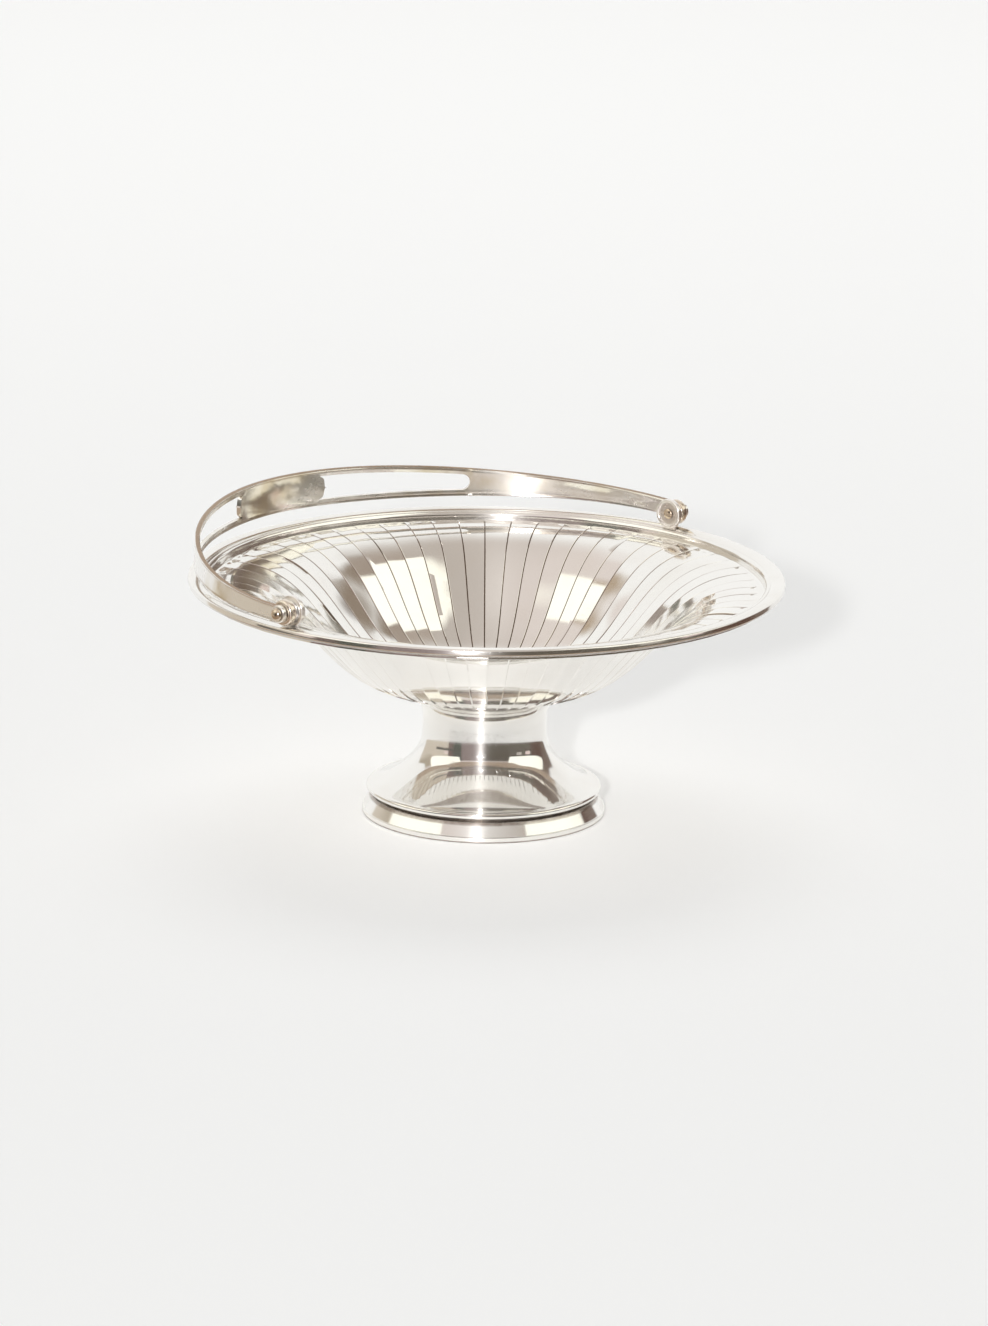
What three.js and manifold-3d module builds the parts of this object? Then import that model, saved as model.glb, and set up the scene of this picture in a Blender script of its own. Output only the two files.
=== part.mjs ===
// Pedestal fruit bowl of silver-plated brass with a folding strap handle, millimetres, +Z up.
// The origin is the centre of the foot on the floor. The handle's hinge line runs along X,
// and the handle is folded back towards +Y.

import * as THREE from 'three';
import { mergeVertices } from 'three/addons/utils/BufferGeometryUtils.js';
import Module from 'manifold-3d';

const wasm = await Module();
wasm.setup();

// Driving sizes of the dish
const RIM_RADIUS = 125;
const RIM_HEIGHT = 102.3;
const SHEET = 1.0;
const PANEL_COUNT = 60;
const LIP_SETBACK = 3.5;
const LIP_DROP = 4.0;
const PLAIN_LIP_WIDTH = 8.5;
const WELL_RADIUS = 40;
const WELL_EDGE_HEIGHT = 56.0;
const WELL_DISHING = 2.5;
const WALL_PULL_OUT = 33.3;
const WALL_PULL_UP = 7.4;
const SHOULDER_PULL_IN = 39;
const SHOULDER_CROWN = 0.5;
const CREASE_DEPTH = 0.5;
const CREASE_WIDTH = 0.9;
const CREASE_END_SHARE = 0.04;

// Driving sizes of the applied rim border
const BORDER_WIDTH = 8.6;
const BORDER_SMALL_BEAD = 2.2;
const BORDER_EDGE_DROP = 3.0;

// Driving sizes of the pedestal and its foot
const FLARE_RADIUS = 36.5;
const NECK_RADIUS = 26.2;
const NECK_HEIGHT = 41;
const NECK_PULL = 9.6;
const WAIST_RADIUS = 28.8;
const WAIST_HEIGHT = 26.2;
const WAIST_TILT_DEG = 30.4;
const WAIST_PULL_UP = 5.1;
const WAIST_PULL_DOWN = 8.4;
const LEDGE_SETBACK = 1.5;
const LEDGE_HEIGHT = 10.8;
const LEDGE_BEAD = 1.3;
const NOTCH_SETBACK = 4.7;
const NOTCH_HEIGHT = 7.4;
const LEDGE_SWEEP = 3;
const PEDESTAL_WALL = 1.0;
const FOOT_RADIUS = 51.1;
const FOOT_EDGE_HEIGHT = 2.4;
const FOOT_WALL = 2.0;

// Driving sizes of the handle
const HOOP_REACH = 122;
const HOOP_FULLNESS = 0.49;
const HOOP_TILT_DEG = 3.6;
const STRAP_THICKNESS = 1.6;
const STRAP_EDGE_BEAD = 0.25;
const STRAP_END_WIDTH = 6.8;
const EYE_THICKNESS = 2.2;
const STRAP_MIDDLE_WIDTH = 16;
const STRAP_TAPER_SHARE = 0.9;
const STRAP_SIDE_STRIP = 2.7;
const CARTOUCHE_HALF_LENGTH = 24;
const CARTOUCHE_TIP = 3.6;
const SLOT_OUTER_END = 94.5;

// Driving sizes of the hinges
const EAR_SETBACK = 7.7;
const EAR_RADIUS = 6.4;
const EAR_THICKNESS = 2.4;
const EAR_RING = 1.3;
const EAR_DISH = 0.7;
const EAR_NECK_WIDTH = 5.2;
const EAR_FOOT_WIDTH = 9;
const WASHER_RADIUS = 4.6;
const WASHER_THICKNESS = 0.8;
const BOSS_RADIUS = 5.4;
const BOSS_THICKNESS = 3.8;
const BOSS_ROUNDING = 1.3;
const PIN_RADIUS = 1.5;
const PIN_HEAD_RADIUS = 2.7;
const PIN_HEAD_HEIGHT = 1.9;
const PIN_TAIL_RADIUS = 2.3;
const PIN_TAIL_HEIGHT = 0.8;

// Clearances between neighbours
const SEAT_GAP = 0.3;
const PIN_CLEARANCE = 0.3;
const BOSS_RIM_CLEARANCE = 0.5;

// Facet counts
const COLUMNS_PER_PANEL = 3;
const WALL_STATIONS = 4;
const BORDER_SEGMENTS = 72;
const PEDESTAL_SEGMENTS = 40;
const STRAP_STATIONS = 48;
const SMALL_SEGMENTS = 16;

// Sizes that follow from the driving sizes
const LIP_HEIGHT = RIM_HEIGHT - LIP_DROP;
const LIP_RADIUS = RIM_RADIUS - LIP_SETBACK;
const PANEL_TOP_RADIUS = LIP_RADIUS - PLAIN_LIP_WIDTH;
const BORDER_INNER_RADIUS = RIM_RADIUS - BORDER_WIDTH;
const LEDGE_RADIUS = FOOT_RADIUS - LEDGE_SETBACK;
const NOTCH_RADIUS = FOOT_RADIUS - NOTCH_SETBACK;
const PIVOT_HEIGHT = RIM_HEIGHT + BOSS_RIM_CLEARANCE + BOSS_RADIUS;
const EAR_INNER_FACE = RIM_RADIUS - EAR_SETBACK;
const EAR_OUTER_FACE = EAR_INNER_FACE + EAR_THICKNESS;
const WASHER_INNER_FACE = EAR_OUTER_FACE + SEAT_GAP;
const BOSS_INNER_FACE = WASHER_INNER_FACE + WASHER_THICKNESS + SEAT_GAP;
const BOSS_OUTER_FACE = BOSS_INNER_FACE + BOSS_THICKNESS;
const EYE_INNER_FACE = BOSS_OUTER_FACE + SEAT_GAP;
const EYE_OUTER_FACE = EYE_INNER_FACE + EYE_THICKNESS;
const HOOP_HALF_SPAN = EYE_INNER_FACE + EYE_THICKNESS / 2;
const PIN_HEAD_FACE = EYE_OUTER_FACE + SEAT_GAP;
const EYE_RADIUS = STRAP_END_WIDTH / 2 + 0.2;
const BORE_RADIUS = PIN_RADIUS + PIN_CLEARANCE;

const v2 = (x, y) => new THREE.Vector2(x, y);

// Evenly spaced numbers from one value to another.
function evenly(from, to, steps) {
  return Array.from({ length: steps + 1 }, (_, i) => THREE.MathUtils.lerp(from, to, i / steps));
}

// Turns a closed BufferGeometry into a solid that can be cut and joined.
function toSolid(geometry) {
  const bare = geometry.clone();
  bare.deleteAttribute('normal');
  bare.deleteAttribute('uv');
  const merged = mergeVertices(bare, 1e-4);
  return new wasm.Manifold(new wasm.Mesh({
    numProp: 3,
    vertProperties: new Float32Array(merged.attributes.position.array),
    triVerts: new Uint32Array(merged.index.array),
  }));
}

// Turns a cut or joined solid back into a BufferGeometry.
function toGeometry(solid) {
  const mesh = solid.getMesh();
  const geometry = new THREE.BufferGeometry();
  geometry.setAttribute('position', new THREE.BufferAttribute(new Float32Array(mesh.vertProperties), 3));
  geometry.setIndex(new THREE.BufferAttribute(new Uint32Array(mesh.triVerts), 1));
  geometry.computeVertexNormals();
  return geometry;
}

// Gives a sheet its thickness: the profile, then the same profile moved along its normals, closed.
// A positive thickness moves the second face to the left of the profile's direction.
function sheetProfile(points, thickness) {
  const moved = points.map((point, i) => {
    const before = points[Math.max(i - 1, 0)];
    const after = points[Math.min(i + 1, points.length - 1)];
    const along = after.clone().sub(before).normalize();
    return v2(point.x - along.y * thickness, point.y + along.x * thickness);
  });
  return [...points, ...moved.reverse()];
}

// Revolves a closed (radius, height) profile about Z.
function revolve(profile, segments) {
  const closed = [...profile, profile[0].clone()];
  const lathe = new THREE.LatheGeometry(closed, segments);
  lathe.rotateX(Math.PI / 2);
  const area = THREE.ShapeUtils.area(profile);
  return area > 0 ? lathe : flipped(lathe);
}

// Turns every triangle over.
function flipped(geometry) {
  const index = geometry.index.array;
  for (let i = 0; i < index.length; i += 3) {
    const keep = index[i];
    index[i] = index[i + 1];
    index[i + 1] = keep;
  }
  return geometry;
}

// Revolves a (radius, distance) profile that starts and ends on the axis, with its axis along +X.
function revolveAlongX(profile, segments) {
  const lathe = new THREE.LatheGeometry(profile, segments);
  lathe.rotateZ(-Math.PI / 2);
  return lathe;
}

// A plain cylinder whose axis runs along X between two faces.
function barAlongX(radius, from, to, segments = SMALL_SEGMENTS) {
  const bar = new THREE.CylinderGeometry(radius, radius, to - from, segments);
  bar.rotateZ(Math.PI / 2);
  bar.translate((from + to) / 2, 0, 0);
  return bar;
}

// Joins rings of equal length into one closed skin; the first and last ring close onto their centres.
function skinOfRings(rings) {
  const columns = rings[0].length;
  const positions = rings.flat().flatMap((point) => [point.x, point.y, point.z]);
  const index = [];
  for (let row = 0; row < rings.length - 1; row += 1) {
    for (let column = 0; column < columns; column += 1) {
      const next = (column + 1) % columns;
      const a = row * columns + column;
      const b = row * columns + next;
      const c = a + columns;
      const d = b + columns;
      index.push(a, b, d, a, d, c);
    }
  }
  const closeEnd = (row, forward) => {
    const centre = new THREE.Vector3();
    rings[row].forEach((point) => centre.addScaledVector(point, 1 / columns));
    const centreIndex = positions.length / 3;
    positions.push(centre.x, centre.y, centre.z);
    for (let column = 0; column < columns; column += 1) {
      const a = row * columns + column;
      const b = row * columns + (column + 1) % columns;
      index.push(...(forward ? [a, b, centreIndex] : [b, a, centreIndex]));
    }
  };
  closeEnd(0, false);
  closeEnd(rings.length - 1, true);
  const geometry = new THREE.BufferGeometry();
  geometry.setAttribute('position', new THREE.Float32BufferAttribute(positions, 3));
  geometry.setIndex(index);
  geometry.computeVertexNormals();
  return geometry;
}

// The dish

// The inner face of the dish from the well's edge to the end of the panels, an ogee.
const wallCurve = new THREE.CubicBezierCurve(
  v2(WELL_RADIUS, WELL_EDGE_HEIGHT),
  v2(WELL_RADIUS + WALL_PULL_OUT, WELL_EDGE_HEIGHT + WALL_PULL_UP),
  v2(PANEL_TOP_RADIUS - SHOULDER_PULL_IN, LIP_HEIGHT + SHOULDER_CROWN),
  v2(PANEL_TOP_RADIUS, LIP_HEIGHT),
);

// Profile stations of the inner face: the well's edge, the panelled wall and the plain lip.
// Each holds its place, its upward normal and how deep the creases are there.
function dishStations() {
  const stations = [];
  const creased = evenly(CREASE_END_SHARE, 1 - CREASE_END_SHARE, WALL_STATIONS);
  for (const share of [0, ...creased, 1]) {
    const place = wallCurve.getPointAt(share);
    const along = wallCurve.getTangentAt(share);
    const crease = share > 0 && share < 1 ? CREASE_DEPTH : 0;
    stations.push({ place, normal: v2(-along.y, along.x), crease });
  }
  stations.push({ place: v2(LIP_RADIUS, LIP_HEIGHT), normal: v2(0, 1), crease: 0 });
  return stations;
}

// The panelled sheet: straight creases run out from the well, and flat panels lie between them.
function dishGeometry() {
  const panelAngle = 2 * Math.PI / PANEL_COUNT;
  const ringAt = (station, depth) => {
    const ring = [];
    for (let panel = 0; panel < PANEL_COUNT; panel += 1) {
      for (let column = 0; column < COLUMNS_PER_PANEL; column += 1) {
        const crease = column === 0 ? station.crease : 0;
        const move = -depth - crease;
        const radius = station.place.x + station.normal.x * move;
        const height = station.place.y + station.normal.y * move;
        const edge = CREASE_WIDTH / 2 / station.place.x;
        const turn = [0, edge, panelAngle - edge][column];
        const angle = panel * panelAngle + turn;
        ring.push(new THREE.Vector3(radius * Math.cos(angle), radius * Math.sin(angle), height));
      }
    }
    return ring;
  };
  const stations = dishStations();
  const inner = stations.map((station) => ringAt(station, 0));
  const outer = stations.map((station) => ringAt(station, SHEET));
  const geometry = skinOfRings([...outer, ...inner.reverse()]);
  const positions = geometry.attributes.position;
  const last = positions.count - 1;
  positions.setZ(last - 1, WELL_EDGE_HEIGHT - WELL_DISHING - SHEET);
  positions.setZ(last, WELL_EDGE_HEIGHT - WELL_DISHING);
  return geometry;
}

// The rim border: a moulded wire with a small inner bead and a broad rolled edge, on the dish's lip.
function borderProfile() {
  const floor = LIP_HEIGHT + SEAT_GAP;
  const groove = BORDER_INNER_RADIUS + BORDER_SMALL_BEAD;
  const edgeBottom = RIM_HEIGHT - BORDER_EDGE_DROP;
  const outline = new THREE.Shape();
  outline.moveTo(BORDER_INNER_RADIUS, floor);
  outline.lineTo(RIM_RADIUS - 2.2, floor);
  outline.quadraticCurveTo(RIM_RADIUS - 0.4, edgeBottom - 0.3, RIM_RADIUS, RIM_HEIGHT - 1.5);
  outline.quadraticCurveTo(RIM_RADIUS - 0.3, RIM_HEIGHT, RIM_RADIUS - 3, RIM_HEIGHT);
  outline.quadraticCurveTo(groove + 0.8, RIM_HEIGHT, groove, RIM_HEIGHT - 1.2);
  outline.quadraticCurveTo(groove - 1.1, RIM_HEIGHT - 0.1, BORDER_INNER_RADIUS, RIM_HEIGHT - 2.2);
  outline.closePath();
  return outline.extractPoints(2).shape;
}

// The pedestal's outer face, from the flare under the dish down to the notch above the foot.
function pedestalOutline() {
  const flareTop = dishUnderside(FLARE_RADIUS) - SEAT_GAP - PEDESTAL_WALL;
  const beadCentre = LEDGE_RADIUS - LEDGE_BEAD;
  const waistTilt = THREE.MathUtils.degToRad(WAIST_TILT_DEG);
  const outward = Math.sin(waistTilt);
  const downward = Math.cos(waistTilt);
  const path = new THREE.Path();
  path.moveTo(FLARE_RADIUS, flareTop);
  path.bezierCurveTo(FLARE_RADIUS - 7, flareTop - 2, NECK_RADIUS, NECK_HEIGHT + 6, NECK_RADIUS, NECK_HEIGHT);
  path.bezierCurveTo(NECK_RADIUS, NECK_HEIGHT - NECK_PULL, WAIST_RADIUS - WAIST_PULL_UP * outward,
    WAIST_HEIGHT + WAIST_PULL_UP * downward, WAIST_RADIUS, WAIST_HEIGHT);
  path.bezierCurveTo(WAIST_RADIUS + WAIST_PULL_DOWN * outward, WAIST_HEIGHT - WAIST_PULL_DOWN * downward,
    beadCentre - LEDGE_SWEEP, LEDGE_HEIGHT + LEDGE_BEAD, beadCentre, LEDGE_HEIGHT + LEDGE_BEAD);
  path.absarc(beadCentre, LEDGE_HEIGHT, LEDGE_BEAD, Math.PI / 2, -Math.PI / 2, true);
  path.lineTo(NOTCH_RADIUS, NOTCH_HEIGHT);
  return path;
}

// Height of the dish's underside at a radius inside the well.
function dishUnderside(radius) {
  const share = radius / WELL_RADIUS;
  return WELL_EDGE_HEIGHT - WELL_DISHING * (1 - share) - SHEET;
}

// The spun foot under the notch: a short flared skirt with a square edge, open underneath.
function footProfile() {
  const top = NOTCH_HEIGHT - SEAT_GAP;
  const outline = new THREE.Shape();
  outline.moveTo(FOOT_RADIUS - FOOT_WALL, 0);
  outline.lineTo(FOOT_RADIUS, 0);
  outline.lineTo(FOOT_RADIUS, FOOT_EDGE_HEIGHT);
  outline.quadraticCurveTo(NOTCH_RADIUS + 1.2, FOOT_EDGE_HEIGHT + 1.2, NOTCH_RADIUS, top);
  outline.lineTo(NOTCH_RADIUS - FOOT_WALL, top);
  outline.quadraticCurveTo(NOTCH_RADIUS - 0.6, 1.2, FOOT_RADIUS - FOOT_WALL, 0);
  return outline.extractPoints(3).shape;
}

// The handle

// Centre line of the strap in the hoop's own plane, from the right eye over the top to the left eye.
function hoopCurve() {
  const a = HOOP_HALF_SPAN;
  const start = BOSS_RADIUS;
  const rise = HOOP_REACH - start;
  const path = new THREE.CurvePath();
  path.add(new THREE.LineCurve(v2(a, 0), v2(a, start)));
  path.add(new THREE.CubicBezierCurve(v2(a, start), v2(a, start + rise * HOOP_FULLNESS),
    v2(a * HOOP_FULLNESS, HOOP_REACH), v2(0, HOOP_REACH)));
  path.add(new THREE.CubicBezierCurve(v2(0, HOOP_REACH), v2(-a * HOOP_FULLNESS, HOOP_REACH),
    v2(-a, start + rise * HOOP_FULLNESS), v2(-a, start)));
  path.add(new THREE.LineCurve(v2(-a, start), v2(-a, 0)));
  return path;
}

const hoop = hoopCurve();
const hoopLength = hoop.getLength();

// The strap's place at a distance from the top of the hoop, with its outward normal in the plane.
function hoopFrame(distance) {
  const share = THREE.MathUtils.clamp(0.5 + distance / hoopLength, 0, 1);
  const place = hoop.getPointAt(share);
  const along = hoop.getTangentAt(share);
  return { place, along, outward: v2(along.y, -along.x) };
}

// The strap is narrow at the eyes and swells to its full width towards the middle.
function strapWidth(distance) {
  const fromEye = 1 - Math.abs(distance) / (hoopLength / 2);
  const swell = THREE.MathUtils.smoothstep(fromEye, 0, STRAP_TAPER_SHARE);
  return THREE.MathUtils.lerp(STRAP_END_WIDTH, STRAP_MIDDLE_WIDTH, swell);
}

// Sweeps a section along the hoop. The section gives (across, outward) points at a distance.
function sweepAlongHoop(distances, section) {
  return skinOfRings(distances.map((distance) => {
    const { place, outward } = hoopFrame(distance);
    return section(distance).map(([across, out]) => new THREE.Vector3(
      place.x + outward.x * out, place.y + outward.y * out, across));
  }));
}

// Section of the strap: a flat band with a slight bead along each edge.
function strapSection(distance) {
  const half = strapWidth(distance) / 2;
  const face = STRAP_THICKNESS / 2;
  const bead = face + STRAP_EDGE_BEAD;
  const side = [[half, bead], [half - 0.9, face]];
  const outerFace = [...side, ...side.map(([across, out]) => [-across, out]).reverse()];
  const innerFace = outerFace.map(([across, out]) => [across, -out]).reverse();
  return [...outerFace, ...innerFace];
}

// Prism through the strap, drawn as (along, across) about a distance on the hoop.
function prismThroughStrap(outline, distance) {
  const depth = STRAP_THICKNESS * 4;
  const prism = new THREE.ExtrudeGeometry(outline, { depth, bevelEnabled: false, curveSegments: 4 });
  prism.translate(0, 0, -depth / 2);
  const { place, along, outward } = hoopFrame(distance);
  const frame = new THREE.Matrix4().makeBasis(
    new THREE.Vector3(along.x, along.y, 0),
    new THREE.Vector3(0, 0, 1),
    new THREE.Vector3(outward.x, outward.y, 0),
  );
  frame.setPosition(place.x, place.y, 0);
  prism.applyMatrix4(frame);
  return toSolid(prism);
}

// One long slot: it follows the strap's edges, has a round outer end,
// and at the middle it stops against the pointed end of the solid cartouche.
function slotSolid(side) {
  const plainHalf = (distance) => strapWidth(distance) / 2 - STRAP_SIDE_STRIP;
  const roundCentre = SLOT_OUTER_END - plainHalf(SLOT_OUTER_END);
  const roundRadius = plainHalf(roundCentre);
  const turns = evenly(0, 1, 5).map((share) => share * Math.PI * 0.46);
  const plain = evenly(CARTOUCHE_HALF_LENGTH, roundCentre, 15).slice(0, -1);
  const distances = [...plain, ...turns.map((turn) => roundCentre + roundRadius * Math.sin(turn))];
  const depth = STRAP_THICKNESS * 2;
  const section = (distance) => {
    const past = Math.max(Math.abs(distance) - roundCentre, 0);
    const half = past > 0 ? Math.sqrt(roundRadius ** 2 - past ** 2) : plainHalf(distance);
    return [[half, depth], [-half, depth], [-half, -depth], [half, -depth]];
  };
  const ordered = side > 0 ? distances : distances.map((distance) => -distance).reverse();
  const length = toSolid(sweepAlongHoop(ordered, section));
  const half = plainHalf(CARTOUCHE_HALF_LENGTH);
  const reach = side * CARTOUCHE_TIP;
  const tip = new THREE.Shape();
  tip.moveTo(-side, -half - 0.5);
  tip.lineTo(reach * 0.1, -half - 0.5);
  tip.quadraticCurveTo(reach * 0.9, -half * 0.75, reach * 0.62, -half * 0.3);
  tip.quadraticCurveTo(reach * 0.6, -half * 0.1, reach, 0);
  tip.quadraticCurveTo(reach * 0.6, half * 0.1, reach * 0.62, half * 0.3);
  tip.quadraticCurveTo(reach * 0.9, half * 0.75, reach * 0.1, half + 0.5);
  tip.lineTo(-side, half + 0.5);
  return length.subtract(prismThroughStrap(tip, side * CARTOUCHE_HALF_LENGTH));
}

// The whole handle: the strap, its two round eyes, the slots and the pin holes.
function handleGeometry() {
  const halfLength = hoopLength / 2;
  let solid = toSolid(sweepAlongHoop(evenly(-halfLength, halfLength, STRAP_STATIONS), strapSection));
  for (const side of [1, -1]) {
    const eye = barAlongX(EYE_RADIUS, EYE_INNER_FACE, EYE_OUTER_FACE);
    const hole = barAlongX(BORE_RADIUS, EYE_INNER_FACE - 1, EYE_OUTER_FACE + 1);
    if (side < 0) {
      eye.rotateZ(Math.PI);
      hole.rotateZ(Math.PI);
    }
    solid = solid.add(toSolid(eye)).subtract(toSolid(hole)).subtract(slotSolid(side));
  }
  return toGeometry(solid);
}

// The hinges, drawn for the right side about the pivot, with X measured from the bowl's axis

// The ear: a round disc with a raised ring on its inner face, on a neck that spreads onto the border.
function earGeometry() {
  const ringInner = EAR_RADIUS - EAR_RING;
  const disc = toSolid(revolveAlongX([
    v2(0, EAR_OUTER_FACE),
    v2(EAR_RADIUS - 0.5, EAR_OUTER_FACE),
    v2(EAR_RADIUS, EAR_OUTER_FACE - 0.5),
    v2(EAR_RADIUS, EAR_INNER_FACE + 0.5),
    v2(EAR_RADIUS - 0.4, EAR_INNER_FACE),
    v2(ringInner + 0.3, EAR_INNER_FACE),
    v2(ringInner, EAR_INNER_FACE + EAR_DISH),
    v2(0, EAR_INNER_FACE + EAR_DISH),
  ].reverse().map((point) => v2(point.x, point.y)), SMALL_SEGMENTS));
  const drop = PIVOT_HEIGHT - LIP_HEIGHT;
  const outline = new THREE.Shape();
  outline.moveTo(-EAR_NECK_WIDTH / 2, -EAR_RADIUS * 0.8);
  outline.quadraticCurveTo(-EAR_NECK_WIDTH / 2, 1.2 - drop + LIP_DROP, -EAR_FOOT_WIDTH / 2, 1.2 - drop);
  outline.lineTo(-EAR_FOOT_WIDTH / 2, -drop);
  outline.lineTo(EAR_FOOT_WIDTH / 2, -drop);
  outline.lineTo(EAR_FOOT_WIDTH / 2, 1.2 - drop);
  outline.quadraticCurveTo(EAR_NECK_WIDTH / 2, 1.2 - drop + LIP_DROP, EAR_NECK_WIDTH / 2, -EAR_RADIUS * 0.8);
  outline.closePath();
  const neck = new THREE.ExtrudeGeometry(outline, {
    depth: EAR_THICKNESS - EAR_DISH - 0.1,
    bevelEnabled: false,
    curveSegments: 6,
  });
  neck.rotateX(Math.PI / 2);
  neck.rotateZ(Math.PI / 2);
  neck.translate(EAR_INNER_FACE + EAR_DISH, 0, 0);
  const hole = toSolid(barAlongX(BORE_RADIUS, EAR_INNER_FACE - 1, EAR_OUTER_FACE + 1));
  const bed = revolve(borderProfile().map((point) => v2(
    point.x + (point.x > BORDER_INNER_RADIUS + 1 ? SEAT_GAP : -SEAT_GAP),
    point.y + (point.y > LIP_HEIGHT + 1 ? SEAT_GAP : -SEAT_GAP * 3),
  )), BORDER_SEGMENTS);
  bed.translate(0, 0, -PIVOT_HEIGHT);
  return toGeometry(disc.add(toSolid(neck)).subtract(hole).subtract(toSolid(bed)));
}

// The washer between the ear and the boss.
function washerGeometry() {
  const disc = toSolid(barAlongX(WASHER_RADIUS, WASHER_INNER_FACE, WASHER_INNER_FACE + WASHER_THICKNESS));
  const hole = toSolid(barAlongX(BORE_RADIUS, WASHER_INNER_FACE - 1, WASHER_INNER_FACE + 2));
  return toGeometry(disc.subtract(hole));
}

// The boss on the inner side of the strap's eye, a thick ring with rounded edges.
function bossGeometry() {
  const outline = new THREE.Shape();
  outline.moveTo(BORE_RADIUS, BOSS_INNER_FACE);
  outline.lineTo(BOSS_RADIUS - BOSS_ROUNDING, BOSS_INNER_FACE);
  outline.absarc(BOSS_RADIUS - BOSS_ROUNDING, BOSS_INNER_FACE + BOSS_ROUNDING, BOSS_ROUNDING,
    -Math.PI / 2, 0);
  outline.absarc(BOSS_RADIUS - BOSS_ROUNDING, BOSS_OUTER_FACE - BOSS_ROUNDING, BOSS_ROUNDING,
    0, Math.PI / 2);
  outline.lineTo(BORE_RADIUS, BOSS_OUTER_FACE);
  const profile = outline.extractPoints(2).shape;
  const ring = revolve(profile, SMALL_SEGMENTS);
  ring.rotateY(Math.PI / 2);
  return ring;
}

// The pin: a domed head outside the strap's eye, a shank and a small riveted end in the ear's dish.
function pinGeometry() {
  const tailFace = EAR_INNER_FACE + EAR_DISH - SEAT_GAP;
  const steps = 3;
  const profile = [];
  for (let i = 0; i <= steps; i += 1) {
    const turn = i / steps * Math.PI / 2;
    profile.push(v2(PIN_TAIL_RADIUS * Math.sin(turn), tailFace - PIN_TAIL_HEIGHT * Math.cos(turn)));
  }
  profile.push(v2(PIN_RADIUS, tailFace));
  profile.push(v2(PIN_RADIUS, PIN_HEAD_FACE));
  for (let i = 0; i <= steps; i += 1) {
    const turn = i / steps * Math.PI / 2;
    profile.push(v2(PIN_HEAD_RADIUS * Math.cos(turn), PIN_HEAD_FACE + PIN_HEAD_HEIGHT * Math.sin(turn)));
  }
  profile[0].x = 0;
  profile[profile.length - 1].x = 0;
  return revolveAlongX(profile, SMALL_SEGMENTS);
}

// Finishes

const silver = () => new THREE.MeshStandardMaterial({ color: 0xd9d4c8, roughness: 0.12, metalness: 1 });
const wornSilver = () => new THREE.MeshStandardMaterial({ color: 0xb99a72, roughness: 0.28, metalness: 1 });
const brass = () => new THREE.MeshStandardMaterial({ color: 0xb08d4f, roughness: 0.3, metalness: 1 });

// Assembly

const bowl = new THREE.Group();

function addPiece(parent, name, geometry, material) {
  const mesh = new THREE.Mesh(geometry, material);
  mesh.name = name;
  parent.add(mesh);
  return mesh;
}

addPiece(bowl, 'bowl_shell', dishGeometry(), silver());
addPiece(bowl, 'rim_border', revolve(borderProfile(), BORDER_SEGMENTS), silver());
addPiece(bowl, 'pedestal_stem', revolve(
  sheetProfile(pedestalOutline().getPoints(3), -PEDESTAL_WALL), PEDESTAL_SEGMENTS), silver());
addPiece(bowl, 'foot_flange', revolve(footProfile(), PEDESTAL_SEGMENTS), silver());

const hingeLine = new THREE.Group();
hingeLine.position.z = PIVOT_HEIGHT;
bowl.add(hingeLine);

for (const [side, turn] of [['right', 0], ['left', Math.PI]]) {
  const hinge = new THREE.Group();
  hinge.rotation.z = turn;
  hingeLine.add(hinge);
  addPiece(hinge, `hinge_ear_${side}`, earGeometry(), wornSilver());
  addPiece(hinge, `hinge_washer_${side}`, washerGeometry(), silver());
  addPiece(hinge, `hinge_boss_${side}`, bossGeometry(), wornSilver());
  addPiece(hinge, `hinge_pin_${side}`, pinGeometry(), brass());
}

const swing = new THREE.Group();
swing.rotation.x = THREE.MathUtils.degToRad(HOOP_TILT_DEG);
hingeLine.add(swing);
addPiece(swing, 'bail_handle', handleGeometry(), silver());

export default bowl;
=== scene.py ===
# Fruit bowl of silver plate on a pedestal foot, with a pierced strap handle that swings over it
import math

import bmesh
import bpy
import numpy as np
from mathutils import Matrix, Vector


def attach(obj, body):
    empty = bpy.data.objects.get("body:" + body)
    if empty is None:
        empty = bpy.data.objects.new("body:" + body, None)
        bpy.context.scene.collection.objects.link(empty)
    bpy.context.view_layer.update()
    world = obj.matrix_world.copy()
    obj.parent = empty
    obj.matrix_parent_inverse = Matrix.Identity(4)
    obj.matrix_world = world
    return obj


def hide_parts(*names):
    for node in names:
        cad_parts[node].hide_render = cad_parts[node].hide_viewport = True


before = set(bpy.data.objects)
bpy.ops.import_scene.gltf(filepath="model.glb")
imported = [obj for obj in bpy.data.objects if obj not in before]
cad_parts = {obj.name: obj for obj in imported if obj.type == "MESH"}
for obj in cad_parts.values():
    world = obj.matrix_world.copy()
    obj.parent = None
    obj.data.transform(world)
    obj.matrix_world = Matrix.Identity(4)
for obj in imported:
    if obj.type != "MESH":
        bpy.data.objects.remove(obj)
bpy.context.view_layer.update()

MM = 0.001
# Points nearer than this, in metres, become one, and a closed pole's first ring is this small, in millimetres
WELD = 2e-6
POLE = 0.001

# Sizes of the dish, in millimetres
RIM_RADIUS = 125.0
RIM_HEIGHT = 102.3
SHEET = 1.0
PANEL_COUNT = 60
LIP_RADIUS = 121.5
LIP_HEIGHT = 98.3
PANEL_TOP_RADIUS = 113.0
WELL_RADIUS = 40.0
WELL_EDGE_HEIGHT = 56.0
WELL_DISHING = 2.5
LIP_ROUNDING = 0.35
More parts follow.
